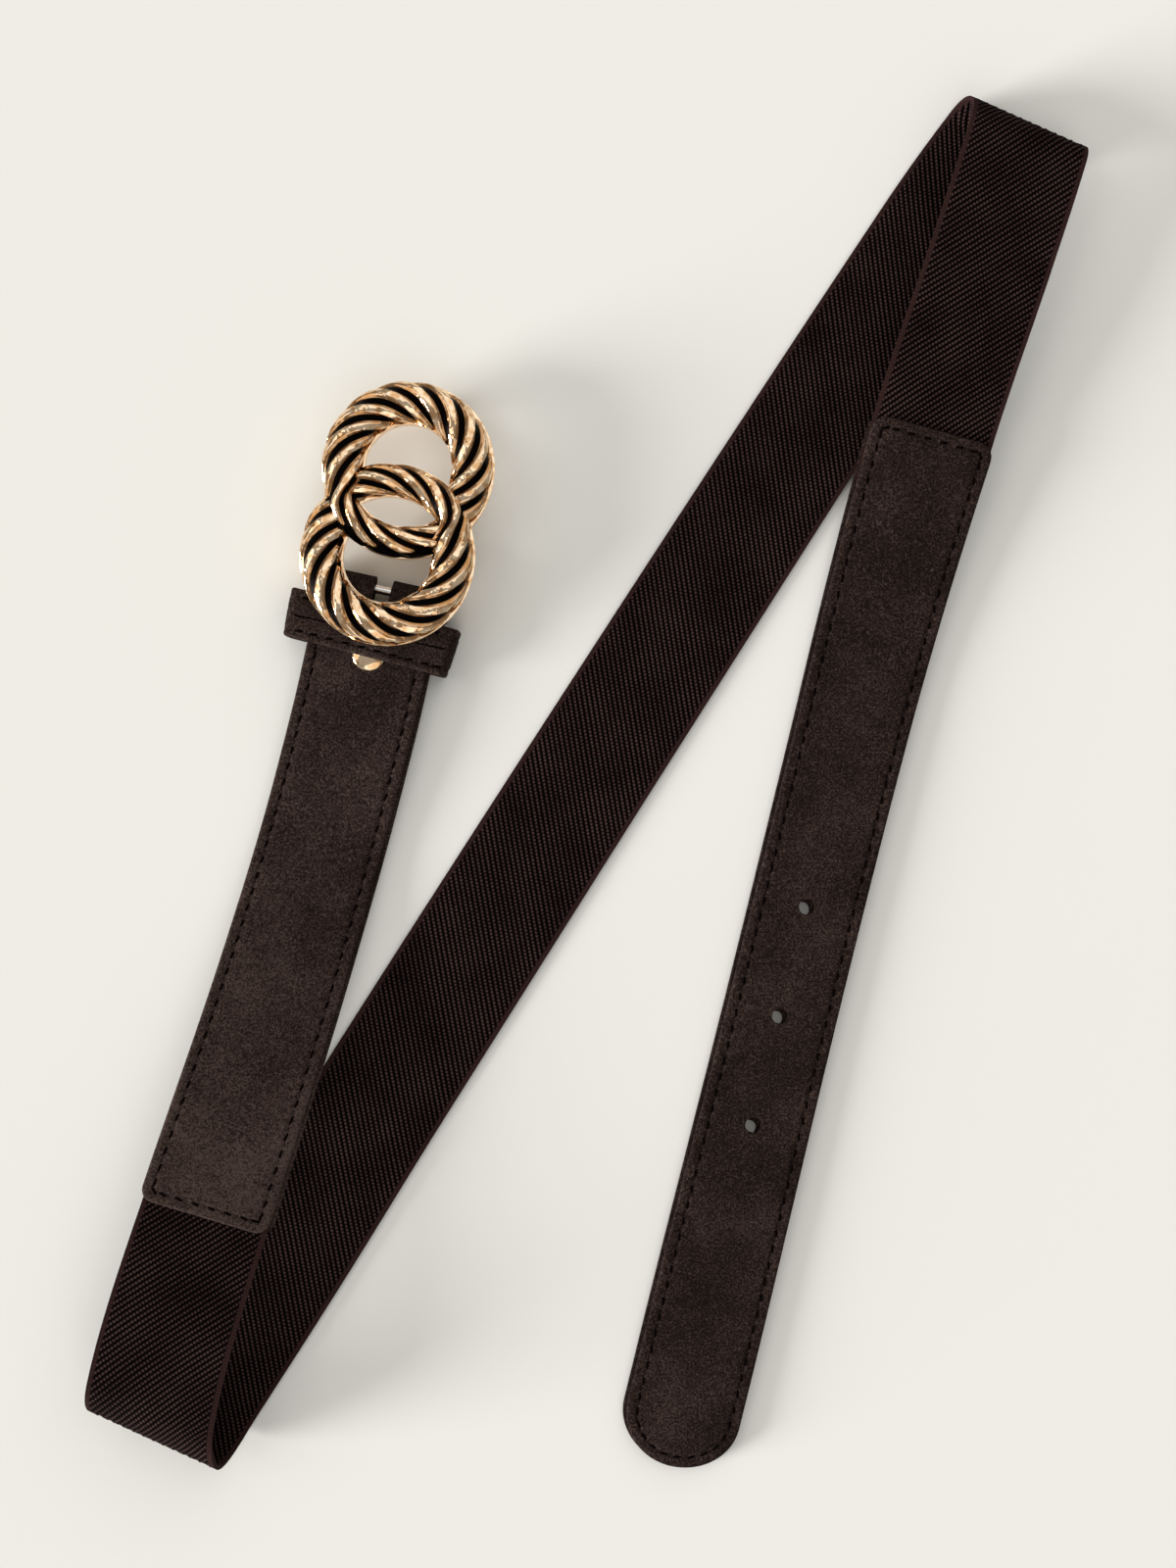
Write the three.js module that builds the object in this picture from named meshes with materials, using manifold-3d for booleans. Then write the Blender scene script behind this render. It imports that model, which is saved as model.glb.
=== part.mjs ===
// Elastic stretch belt with suede leather tabs and a cast double rope-ring buckle.
// It lies on z = 0 in a flat zigzag with two soft folds. Millimetres, +Z up, origin at the
// bottom centre of its bounding box.
import * as THREE from 'three';
import { mergeVertices } from 'three/addons/utils/BufferGeometryUtils.js';
import Module from 'manifold-3d';

const wasm = await Module();
wasm.setup();

// Driving dimensions of the strap
const clear = 0.3; // gap between neighbouring pieces
const strapWidth = 34; // width of the leather tabs
const elastic = {
  width: strapWidth - 2 * clear, thick: 1.3, bevel: 0.3, free: 578.3, tuck: 18,
};
const tab = { thick: 3.5, bevel: 0.5 };
const buckleTab = { length: 170.2, corner: 3.5 };
const tipTab = { length: 284.5, corner: 4.2, tipReach: 14, blunt: 0.02 };
const holes = { radius: 2.25, first: 94.5, pitch: 30, count: 3 }; // measured from the tip

// The tab's turned end round the crossbar
const bar = { radius: 1.25, height: 4.45 };
const wrap = { radius: 3.1, taper: 12 };
const notch = { rootWidth: 5, mouthWidth: 6.6, mouthDepth: 2, depth: 8.4 };

// Keeper loop and rivet, placed from the crossbar
const keeper = {
  from: 5.3, width: 13, outside: 45, wall: 1.5, corner: 2.4, top: 9.4, aside: -0.7, askew: -2.6,
};
const rivet = {
  at: 17.5, radius: 4.35, rise: 1, back: 0.8, backRadius: 3.6, backBevel: 0.4, post: 1.5,
};

// Cast buckle: two rope rings, fused, on two lugs
const ring = { mean: 16.85, halfWidth: 5.35, rise: 3.9, back: 2.7, strands: 5, stripes: 14 };
const rings = { first: 8, apart: 23.5, weave: 1.3, innerWidth: 0.75, innerReach: 2.5 };
// The rings are slightly oval: shares of a round ring across and along, and a shift along
const nearOval = { wide: 1.022, long: 1.055, shift: -0.5 };
const farOval = { wide: 1.01, long: 1.03, shift: 0.2 };
const turning = { narrow: 0.3, hump: 0.55 }; // angles over which a ring narrows and rises
const rope = { valley: 0.17, sharpness: 6, sections: 68, perStrand: 4, flat: 1.9 };
const base = { halfWidth: 4.9, thick: 2, sections: 48 };
const ornamentGap = 7.4; // from the crossbar's axis to the ornament's flat back
const lug = { thick: 1.8, radius: 2.7, shoulder: 1, play: 0.7, spread: 4.6 };
const peg = { radius: 1.7, length: 8.2, headRadius: 2.05, headHeight: 1.6, chamfer: 0.5 };

// How the strap lies: headings from +Y, fold lines from +X, soft loops standing on the floor
const lay = {
  heading: 32.9,
  overhangBuckle: 50.3, // elastic between the buckle tab and the first fold
  overhangTip: 78, // elastic between the second fold and the tip tab
  buckleFold: { angle: 24.65, radius: 10, landing: 160 },
  tipFold: { angle: 23.8, radius: 6.5, landing: 150 },
  level: 22, // stretch of the tab that lies level next to the crossbar
  lift: 55, // and the stretch before it, over which the tab rises
};
const deg = Math.PI / 180;

// How finely the shapes are stepped: lengths along the strap, and sides or steps of round forms
const steps = { leg: 7, fold: 1.5, diagonal: 35, buckleTab: 6, tipTab: 7, slope: 0.5 };
const facets = {
  pocket: 5, hole: 20, bore: 14, notch: 8, tip: 12, keeper: 6, dome: 5, rivet: 24, lug: 10,
  peg: 16, bar: 20,
};
const past = 3; // how far a cutter or a joined piece runs on past the face that it meets

// Sideways drift of the strap's middle, as shares of the belt's length and of the strap's width
const drift = [
  { along: 0, aside: -0.165 },
  { along: 0.035, aside: -0.095 },
  { along: 0.102, aside: -0.062 },
  { along: 0.161, aside: -0.075 },
  { along: 0.195, aside: -0.08 },
  { along: 0.216, aside: -0.04 },
  { along: 0.231, aside: 0.045 },
  { along: 0.25, aside: 0.045 },
  { along: 0.29, aside: 0.035 },
  { along: 0.34, aside: 0.005 },
  { along: 0.48, aside: -0.02 },
  { along: 0.6, aside: -0.01 },
  { along: 0.629, aside: 0.03 },
  { along: 0.639, aside: 0.085 },
  { along: 0.649, aside: 0.098 },
  { along: 0.678, aside: 0.055 },
  { along: 0.724, aside: -0.021 },
  { along: 0.8, aside: -0.033 },
  { along: 1, aside: 0.056 },
];
// Width of the elastic between the tabs, as shares of its own width
const elasticWidths = [
  { along: 0, wide: 1 },
  { along: 0.12, wide: 1.03 },
  { along: 0.3, wide: 1.045 },
  { along: 0.55, wide: 1.01 },
  { along: 0.8, wide: 0.965 },
  { along: 1, wide: 0.97 },
];
// Widths of the two tabs from the crossbar and from the elastic, as shares of the strap's width
const buckleTabWidths = [
  { along: 0, wide: 0.985 },
  { along: 0.5, wide: 1 },
  { along: 1, wide: 1.045 },
];
const tipTabWidths = [
  { along: 0, wide: 1 },
  { along: 0.18, wide: 0.94 },
  { along: 0.32, wide: 0.905 },
  { along: 0.55, wide: 0.895 },
  { along: 0.85, wide: 0.93 },
  { along: 1, wide: 0.93 },
];

// Reads one column of a table at a share of its length, on a smooth curve through the rows
// that runs on straight past both ends
function read(table, share, column) {
  const at = Math.min(Math.max(share, 0), 1);
  const beyondEnd = share - at;
  let i = 0;
  while (i < table.length - 2 && at > table[i + 1].along) i += 1;
  const slope = (k) => {
    const a = table[Math.max(k - 1, 0)];
    const b = table[Math.min(k + 1, table.length - 1)];
    return (b[column] - a[column]) / (b.along - a.along);
  };
  const [p, q] = [table[i], table[i + 1]];
  const span = q.along - p.along;
  const u = (at - p.along) / span;
  const rise = u * u * (3 - 2 * u);
  const start = u * (1 - u) * (1 - u) * span * slope(i);
  const end = u * u * (u - 1) * span * slope(i + 1);
  const onward = beyondEnd * (beyondEnd < 0 ? slope(0) : slope(table.length - 1));
  return p[column] + (q[column] - p[column]) * rise + start + end + onward;
}

const smooth = (x) => {
  const u = Math.min(Math.max(x, 0), 1);
  return u * u * (3 - 2 * u);
};

// Places along the belt, measured from the crossbar
const firstBend = buckleTab.length + lay.overhangBuckle;
const skewOf = (fold) => (lay.heading - fold.angle) * deg;
const bendLength = (fold) => (Math.PI * fold.radius) / Math.cos(skewOf(fold));
const diagonalStart = firstBend + bendLength(lay.buckleFold);
const elasticEnd = buckleTab.length + elastic.free;
const secondBendEnd = elasticEnd - lay.overhangTip;
const diagonalEnd = secondBendEnd - bendLength(lay.tipFold);
const beltLength = elasticEnd + tipTab.length;

// The flat strap runs on along the diagonal, and each fold then rolls it up and back over itself
const along = new THREE.Vector2(Math.sin(lay.heading * deg), Math.cos(lay.heading * deg));
const across = new THREE.Vector2(along.y, -along.x);

function middle(b) {
  const aside = strapWidth * read(drift, b / beltLength, 'aside');
  const run = b - diagonalStart;
  return along.clone().multiplyScalar(run).addScaledVector(across, aside);
}

function foldFrame(fold, b, side) {
  const line = new THREE.Vector2(Math.cos(fold.angle * deg), -Math.sin(fold.angle * deg));
  const out = new THREE.Vector2(-line.y, line.x).multiplyScalar(side);
  return { ...fold, line, out, at: middle(b) };
}
const buckleFold = foldFrame(lay.buckleFold, diagonalStart, -1);
const tipFold = foldFrame(lay.tipFold, diagonalEnd, 1);

const floorMiddle = elastic.thick / 2;
const restMiddle = tab.thick / 2;

// Height of the strap's middle on a leg, at a distance back from the fold
function legHeight(fold, back) {
  const top = floorMiddle + 2 * fold.radius;
  const down = restMiddle + (top - restMiddle) * (1 - smooth(back / fold.landing));
  if (fold.out.y > 0) return down;
  const toBar = firstBend - back;
  return down + (bar.height - restMiddle) * smooth((lay.level + lay.lift - toBar) / lay.lift);
}

// A point of the strap: b along it, t across it, h out of its face side
function place(b, t, h) {
  const slope = middle(b + steps.slope).sub(middle(b - steps.slope)).normalize();
  const flat = middle(b).add(new THREE.Vector2(slope.y, -slope.x).multiplyScalar(t));
  for (const fold of [buckleFold, tipFold]) {
    const from = flat.clone().sub(fold.at);
    const over = from.dot(fold.out);
    if (over <= 0) continue;
    const shift = from.dot(fold.line);
    const arc = Math.PI * fold.radius;
    const turn = Math.min(over, arc) / fold.radius;
    const back = Math.max(over - arc, 0);
    let tilt = turn;
    let reach = fold.radius * Math.sin(turn);
    let height = floorMiddle + fold.radius * (1 - Math.cos(turn));
    if (back > 0) {
      const rise = legHeight(fold, back + steps.slope) - legHeight(fold, back - steps.slope);
      const fall = rise / (2 * steps.slope);
      tilt = Math.PI - Math.atan(fall);
      reach = -back;
      height = legHeight(fold, back);
    }
    const spot = fold.at.clone().addScaledVector(fold.line, shift);
    spot.addScaledVector(fold.out, reach + h * Math.sin(tilt));
    return new THREE.Vector3(spot.x, spot.y, height - h * Math.cos(tilt));
  }
  return new THREE.Vector3(flat.x, flat.y, floorMiddle - h);
}

// Closed geometry from sections of equal point count, capped at both ends or closed on itself
function loft(sections, closedBy = null) {
  const count = sections[0].length;
  const positions = sections.flat().flatMap((p) => [p.x, p.y, p.z]);
  const index = [];
  const last = closedBy === null ? sections.length - 1 : sections.length;
  for (let i = 0; i < last; i += 1) {
    const wrapped = i + 1 === sections.length;
    for (let j = 0; j < count; j += 1) {
      const k = (j + 1) % count;
      const shift = wrapped ? closedBy : 0;
      const next = wrapped ? 0 : (i + 1) * count;
      const [a, b] = [i * count + j, i * count + k];
      const [c, d] = [next + ((j + shift) % count), next + ((k + shift) % count)];
      index.push(a, b, d, a, d, c);
    }
  }
  if (closedBy === null) {
    const end = (sections.length - 1) * count;
    for (let j = 1; j < count - 1; j += 1) {
      index.push(0, j + 1, j);
      index.push(end, end + j, end + j + 1);
    }
  }
  const geometry = new THREE.BufferGeometry();
  geometry.setAttribute('position', new THREE.Float32BufferAttribute(positions, 3));
  geometry.setIndex(index);
  return geometry;
}

// Manifold solids for joining and cutting, and back to a geometry
function solid(geometry) {
  const bare = geometry.clone();
  bare.deleteAttribute('normal');
  bare.deleteAttribute('uv');
  const merged = mergeVertices(bare, 1e-4);
  return new wasm.Manifold(new wasm.Mesh({
    numProp: 3,
    vertProperties: new Float32Array(merged.attributes.position.array),
    triVerts: new Uint32Array(merged.index.array),
  }));
}

function geometryOf(manifold) {
  const mesh = manifold.getMesh();
  const geometry = new THREE.BufferGeometry();
  geometry.setAttribute('position', new THREE.BufferAttribute(mesh.vertProperties, 3));
  geometry.setIndex(new THREE.BufferAttribute(mesh.triVerts, 1));
  return geometry;
}

// Maps a geometry drawn flat, x along the belt, y across it and z out of its face, onto the strap
function ontoStrap(geometry) {
  const position = geometry.attributes.position;
  for (let i = 0; i < position.count; i += 1) {
    const p = place(position.getX(i), position.getY(i), position.getZ(i));
    position.setXYZ(i, p.x, p.y, p.z);
  }
  return geometry;
}

// One strap section: a bar with bevelled edges; skew turns it to run along a fold line
function section(b, width, low, high, bevel, skew = 0) {
  const w = width / 2;
  const cut = Math.min(bevel, w / 2);
  const outline = [
    [-w, low + cut], [-w + cut, low], [w - cut, low], [w, low + cut],
    [w, high - cut], [w - cut, high], [-w + cut, high], [-w, high - cut],
  ];
  return outline.map(([t, h]) => place(b + t * skew, t, h));
}

// Steps from one place to another, close together in the folds
function stations(from, to) {
  const list = [from];
  const stretches = [
    [firstBend, steps.leg],
    [diagonalStart, steps.fold],
    [diagonalEnd, steps.diagonal],
    [secondBendEnd, steps.fold],
    [to, steps.leg],
  ];
  let start = from;
  for (const [stop, size] of stretches) {
    const count = Math.max(1, Math.round((stop - start) / size));
    for (let i = 1; i <= count; i += 1) list.push(start + ((stop - start) * i) / count);
    start = stop;
  }
  return list;
}

function elasticBand() {
  const from = buckleTab.length - elastic.tuck;
  const to = elasticEnd + elastic.tuck;
  const half = elastic.thick / 2;
  const skewRows = [
    [from, 0],
    [firstBend, Math.tan(skewOf(lay.buckleFold))],
    [diagonalStart, Math.tan(skewOf(lay.buckleFold))],
    [diagonalEnd, Math.tan(skewOf(lay.tipFold))],
    [secondBendEnd, Math.tan(skewOf(lay.tipFold))],
    [to, 0],
  ];
  const skewAt = (b) => {
    const i = Math.max(1, skewRows.findIndex(([at]) => at >= b));
    const [p, q] = [skewRows[i - 1], skewRows[i]];
    return THREE.MathUtils.mapLinear(b, p[0], q[0], p[1], q[1]);
  };
  const sections = stations(from, to).map((b) => {
    const wide = read(elasticWidths, (b - buckleTab.length) / elastic.free, 'wide');
    return section(b, elastic.width * wide, -half, half, elastic.bevel, skewAt(b));
  });
  return loft(sections);
}

// Pocket in a tab's end that takes the elastic; side is 1 where the tab lies towards the tip
function pocket(mouth, side) {
  const wide = read(elasticWidths, side > 0 ? 1 : 0, 'wide');
  const width = elastic.width * wide + 2 * clear;
  const half = elastic.thick / 2 + clear;
  const end = mouth + side * (elastic.tuck + clear);
  const outside = mouth - side * past;
  const [from, to] = side > 0 ? [outside, end] : [end, outside];
  const sections = [];
  for (let i = 0; i <= facets.pocket; i += 1) {
    const b = THREE.MathUtils.lerp(from, to, i / facets.pocket);
    sections.push(section(b, width, -half, half, elastic.bevel));
  }
  return solid(loft(sections));
}

// Half-width lost to a rounded corner, at a distance in from the end
const cornerLoss = (radius, inwards) => {
  const u = Math.min(inwards / radius, 1);
  return radius * (1 - Math.sqrt(u * (2 - u)));
};
const cornerSteps = [0, 0.06, 0.2, 0.45, 0.75, 1];

function punch(b, radius) {
  const length = tab.thick + 2 * past;
  const hole = new THREE.CylinderGeometry(radius, radius, length, facets.hole);
  return solid(ontoStrap(hole.rotateX(Math.PI / 2).translate(b, 0, 0)));
}

function wrapEnd() {
  const half = tab.thick / 2;
  const lean = Math.asin((wrap.radius - half) / wrap.taper);
  const outline = new THREE.Shape();
  outline.moveTo(wrap.taper, half);
  outline.absarc(0, 0, wrap.radius, Math.PI / 2 - lean, 1.5 * Math.PI + lean, false);
  outline.lineTo(wrap.taper, -half);
  const bore = new THREE.Path();
  bore.absarc(0, 0, bar.radius + clear, 0, 2 * Math.PI, true);
  outline.holes.push(bore);
  const width = strapWidth * buckleTabWidths[0].wide;
  const shape = new THREE.ExtrudeGeometry(outline, {
    depth: width, bevelEnabled: false, curveSegments: facets.bore,
  });
  shape.rotateX(Math.PI / 2).translate(0, width / 2, 0);
  return solid(ontoStrap(shape));
}

function notchCut() {
  const root = notch.depth - wrap.radius - notch.rootWidth / 2;
  const outline = new THREE.Shape();
  const mouth = notch.mouthDepth / 2 - wrap.radius;
  const outside = -wrap.radius - past;
  outline.moveTo(outside, -notch.mouthWidth / 2);
  outline.lineTo(mouth, -notch.mouthWidth / 2);
  outline.lineTo(0, -notch.rootWidth / 2);
  outline.absarc(root, 0, notch.rootWidth / 2, -Math.PI / 2, Math.PI / 2, false);
  outline.lineTo(0, notch.rootWidth / 2);
  outline.lineTo(mouth, notch.mouthWidth / 2);
  outline.lineTo(outside, notch.mouthWidth / 2);
  const depth = 2 * (wrap.radius + past);
  const shape = new THREE.ExtrudeGeometry(outline, {
    depth, bevelEnabled: false, curveSegments: facets.notch,
  });
  return solid(ontoStrap(shape.translate(0, 0, -depth / 2)));
}

function buckleTabSolid() {
  const half = tab.thick / 2;
  const start = wrap.taper - past;
  const list = [];
  const run = buckleTab.length - buckleTab.corner - start;
  const count = Math.round(run / steps.buckleTab);
  for (let i = 0; i < count; i += 1) list.push(start + (run * i) / count);
  for (const share of [...cornerSteps].reverse()) {
    list.push(buckleTab.length - share * buckleTab.corner);
  }
  const sections = list.map((b) => {
    const wide = strapWidth * read(buckleTabWidths, b / buckleTab.length, 'wide');
    const lost = 2 * cornerLoss(buckleTab.corner, buckleTab.length - b);
    return section(b, wide - lost, -half, half, tab.bevel);
  });
  return geometryOf(solid(loft(sections))
    .add(wrapEnd())
    .subtract(notchCut())
    .subtract(punch(rivet.at, rivet.post + clear))
    .subtract(pocket(buckleTab.length, -1)));
}

function tipTabSolid() {
  const half = tab.thick / 2;
  const list = cornerSteps.map((share) => elasticEnd + share * tipTab.corner);
  const tipStart = beltLength - tipTab.tipReach;
  const from = elasticEnd + tipTab.corner;
  const count = Math.round((tipStart - from) / steps.tipTab);
  for (let i = 1; i <= count; i += 1) list.push(from + ((tipStart - from) * i) / count);
  for (let i = 1; i < facets.tip; i += 1) {
    list.push(tipStart + tipTab.tipReach * Math.sin((i / facets.tip) * (Math.PI / 2)));
  }
  list.push(beltLength - tipTab.blunt);
  const sections = list.map((b) => {
    const wide = strapWidth * read(tipTabWidths, (b - elasticEnd) / tipTab.length, 'wide');
    const lost = 2 * cornerLoss(tipTab.corner, b - elasticEnd);
    const round = Math.max(b - tipStart, 0) / tipTab.tipReach;
    return section(b, wide * Math.sqrt(1 - round * round) - lost, -half, half, tab.bevel);
  });
  let body = solid(loft(sections)).subtract(pocket(elasticEnd, 1));
  for (let i = 0; i < holes.count; i += 1) {
    body = body.subtract(punch(beltLength - holes.first - i * holes.pitch, holes.radius));
  }
  return geometryOf(body);
}

// Frame on the strap at b: x across it, y towards the buckle, z out of its face or straight up
function frameAt(b, level) {
  const ahead = place(b - steps.slope, 0, 0).sub(place(b + steps.slope, 0, 0));
  if (level) ahead.setZ(0);
  ahead.normalize();
  const side = new THREE.Vector3(ahead.y, -ahead.x, 0).normalize();
  const frame = new THREE.Group();
  frame.position.copy(place(b, 0, 0));
  frame.quaternion.setFromRotationMatrix(
    new THREE.Matrix4().makeBasis(side, ahead, side.clone().cross(ahead)),
  );
  return frame;
}

function roundedRectangle(path, halfWidth, low, high, radius) {
  path.moveTo(-halfWidth + radius, low);
  path.lineTo(halfWidth - radius, low);
  path.absarc(halfWidth - radius, low + radius, radius, -Math.PI / 2, 0, false);
  path.absarc(halfWidth - radius, high - radius, radius, 0, Math.PI / 2, false);
  path.absarc(-halfWidth + radius, high - radius, radius, Math.PI / 2, Math.PI, false);
  path.absarc(-halfWidth + radius, low + radius, radius, Math.PI, 1.5 * Math.PI, false);
  return path;
}

// The keeper's frame is at its middle along the strap
function keeperLoop() {
  const half = keeper.outside / 2;
  const { wall, corner, top, width } = keeper;
  const outline = roundedRectangle(new THREE.Shape(), half, 0, top, corner);
  const inner = Math.max(corner - wall, clear);
  outline.holes.push(roundedRectangle(new THREE.Path(), half - wall, wall, top - wall, inner));
  const shape = new THREE.ExtrudeGeometry(outline, {
    depth: width, bevelEnabled: false, curveSegments: facets.keeper,
  });
  return shape.rotateX(Math.PI / 2).translate(0, width / 2, 0);
}

// The rivet's frame is at the middle of the tab's thickness; its post passes through the tab
function tabRivet() {
  const half = tab.thick / 2 + clear / 2;
  const profile = [new THREE.Vector2(0, -half - rivet.back)];
  profile.push(new THREE.Vector2(rivet.backRadius - rivet.backBevel, -half - rivet.back));
  profile.push(new THREE.Vector2(rivet.backRadius, -half - rivet.back / 2));
  profile.push(new THREE.Vector2(rivet.backRadius, -half));
  profile.push(new THREE.Vector2(rivet.post, -half));
  profile.push(new THREE.Vector2(rivet.post, half));
  for (let i = 0; i <= facets.dome; i += 1) {
    const a = (i / facets.dome) * (Math.PI / 2);
    profile.push(new THREE.Vector2(rivet.radius * Math.cos(a), half + rivet.rise * Math.sin(a)));
  }
  profile[profile.length - 1].x = 0;
  return new THREE.LatheGeometry(profile, facets.rivet).rotateX(Math.PI / 2);
}

// Ring of the buckle about the z axis; outline gives a section's points outward and up
function ringLoft(oval, count, closedBy, outline) {
  const { wide, long, shift } = oval;
  const sections = [];
  for (let i = 0; i < count; i += 1) {
    const a = (i / count) * 2 * Math.PI;
    sections.push(outline(a).map(([out, up]) => {
      const reach = ring.mean + out;
      return new THREE.Vector3(reach * Math.cos(a) * wide, shift + reach * Math.sin(a) * long, up);
    }));
  }
  return loft(sections, closedBy);
}

// Share of the narrow stretch of a ring inside its fellow, and where the two cross
const crossing = Math.asin(rings.apart / 2 / ring.mean);
const apartFrom = (a, b) => Math.abs(Math.atan2(Math.sin(a - b), Math.cos(a - b)));

// side is 1 for the ring on the bar, whose fellow lies further from the bar, and -1 for the other
function ropeRing(side) {
  const oval = side > 0 ? nearOval : farOval;
  const facing = (side * Math.PI) / 2;
  const fromCrossing = (a) => apartFrom(a, facing) - (Math.PI / 2 - crossing);
  const inside = (a) => 1 - smooth(fromCrossing(a) / turning.narrow);
  const narrow = (a) => 1 - (1 - rings.innerWidth) * inside(a);
  const bulge = (a) => rings.innerReach * inside(a);
  const right = side * crossing;
  const left = Math.PI - right;
  const hump = (a, at) => 1 - smooth(apartFrom(a, at) / turning.hump);
  const lift = (a) => rings.weave * side * (hump(a, right) - hump(a, left));
  const perRing = ring.strands * rope.perStrand;
  const turns = ring.stripes / ring.strands;
  const shift = Math.round((ring.stripes * perRing) / ring.strands) % perRing;
  const relief = ringLoft(oval, rope.sections, shift, (a) => {
    const points = [];
    for (let j = 0; j < perRing; j += 1) {
      const onStrand = (j % rope.perStrand) / rope.perStrand;
      const round = 1 - rope.valley * Math.cos(Math.PI * onStrand) ** rope.sharpness;
      const phase = -(j / perRing) * 2 * Math.PI - turns * a;
      const out = bulge(a) + ring.halfWidth * narrow(a) * round * Math.cos(phase);
      const up = lift(a) + ring.rise * round * Math.sin(phase);
      points.push([out, Math.max(up, -rope.flat)]);
    }
    return points;
  });
  const backing = ringLoft(oval, base.sections, 0, (a) => {
    const half = base.halfWidth * narrow(a);
    const [inner, outer] = [bulge(a) - half, bulge(a) + half];
    return [
      [inner, -ring.back + base.thick], [outer, -ring.back + base.thick],
      [outer, -ring.back], [inner, -ring.back],
    ];
  });
  return solid(relief).add(solid(backing));
}

// Buckle frame: x along the crossbar, y towards the buckle's far end, z out of its front
function lugSolid(side) {
  const inner = strapWidth / 2 + lug.play;
  const top = ornamentGap + base.thick / 2;
  const outline = new THREE.Shape();
  outline.moveTo(-lug.spread, top);
  outline.lineTo(-lug.radius, lug.shoulder);
  outline.absarc(0, 0, lug.radius, Math.PI, 2 * Math.PI, false);
  outline.lineTo(lug.radius, lug.shoulder);
  outline.lineTo(lug.spread, top);
  const bore = new THREE.Path();
  bore.absarc(0, 0, bar.radius + clear, 0, 2 * Math.PI, true);
  outline.holes.push(bore);
  const shape = new THREE.ExtrudeGeometry(outline, {
    depth: lug.thick, bevelEnabled: false, curveSegments: facets.lug,
  });
  shape.rotateX(Math.PI / 2).rotateZ(Math.PI / 2);
  const from = side > 0 ? inner : -inner - lug.thick;
  return solid(shape.translate(from, 0, 0));
}

const pegPlace = rings.first + rings.apart + farOval.shift + ring.mean * farOval.long;
// The ornament leans on the crossbar until the far edge of its peg stands on the floor
const pegEdge = { y: pegPlace + peg.headRadius - peg.chamfer, z: ornamentGap - peg.length };
const lean = Math.asin(place(0, 0, 0).z / Math.hypot(pegEdge.y, pegEdge.z))
  - Math.atan2(-pegEdge.z, pegEdge.y);

function pegSolid() {
  const { radius, length, headRadius, headHeight, chamfer } = peg;
  const profile = [
    new THREE.Vector2(0, -length),
    new THREE.Vector2(headRadius - chamfer, -length),
    new THREE.Vector2(headRadius, -length + headHeight / 2),
    new THREE.Vector2(radius, -length + headHeight),
    new THREE.Vector2(radius, base.thick / 2),
    new THREE.Vector2(0, base.thick / 2),
  ];
  return solid(new THREE.LatheGeometry(profile, facets.peg).rotateX(Math.PI / 2)
    .translate(0, pegPlace, ornamentGap));
}

function buckleRings() {
  const height = ornamentGap + ring.back;
  const near = ropeRing(1).translate([0, rings.first, height]);
  const far = ropeRing(-1).translate([0, rings.first + rings.apart, height]);
  return geometryOf(near.add(far).add(lugSolid(1)).add(lugSolid(-1)).add(pegSolid()));
}

function crossbar() {
  const length = strapWidth + 2 * (lug.play + lug.thick) + clear;
  return new THREE.CylinderGeometry(bar.radius, bar.radius, length, facets.bar)
    .rotateZ(Math.PI / 2);
}

const finishes = {
  elastic: new THREE.MeshStandardMaterial({ color: 0x2c221f, roughness: 0.85 }),
  suede: new THREE.MeshStandardMaterial({ color: 0x2d2420, roughness: 0.95 }),
  gold: new THREE.MeshStandardMaterial({ color: 0xd9b98a, roughness: 0.22, metalness: 1 }),
  steel: new THREE.MeshStandardMaterial({ color: 0xc9c7c4, roughness: 0.3, metalness: 1 }),
};

function named(name, geometry, finish) {
  const mesh = new THREE.Mesh(geometry, finish);
  mesh.name = name;
  return mesh;
}

const belt = new THREE.Group();
belt.add(named('elastic_band', elasticBand(), finishes.elastic));
belt.add(named('buckle_tab', buckleTabSolid(), finishes.suede));
belt.add(named('tip_tab', tipTabSolid(), finishes.suede));

const keeperFrame = frameAt(keeper.from + keeper.width / 2, true);
keeperFrame.position.setZ(0);
const keeperMesh = named('keeper_loop', keeperLoop(), finishes.suede);
keeperMesh.rotation.z = keeper.askew * deg;
keeperMesh.position.x = keeper.aside;
keeperFrame.add(keeperMesh);
const rivetFrame = frameAt(rivet.at, false);
rivetFrame.add(named('tab_rivet', tabRivet(), finishes.gold));

const buckleFrame = frameAt(0, true);
const ornament = new THREE.Group();
ornament.rotation.x = -lean;
ornament.add(named('buckle_rings', buckleRings(), finishes.gold));
ornament.add(named('crossbar', crossbar(), finishes.steel));
buckleFrame.add(ornament);
belt.add(keeperFrame, rivetFrame, buckleFrame);

// The origin is the bottom centre of the whole belt
belt.updateMatrixWorld(true);
const bounds = new THREE.Box3().setFromObject(belt, true);
const centre = bounds.getCenter(new THREE.Vector3());
belt.position.set(-centre.x, -centre.y, -bounds.min.z);

export default belt;
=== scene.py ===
import math

import bpy
import numpy as np
from mathutils import Matrix, Vector


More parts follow.
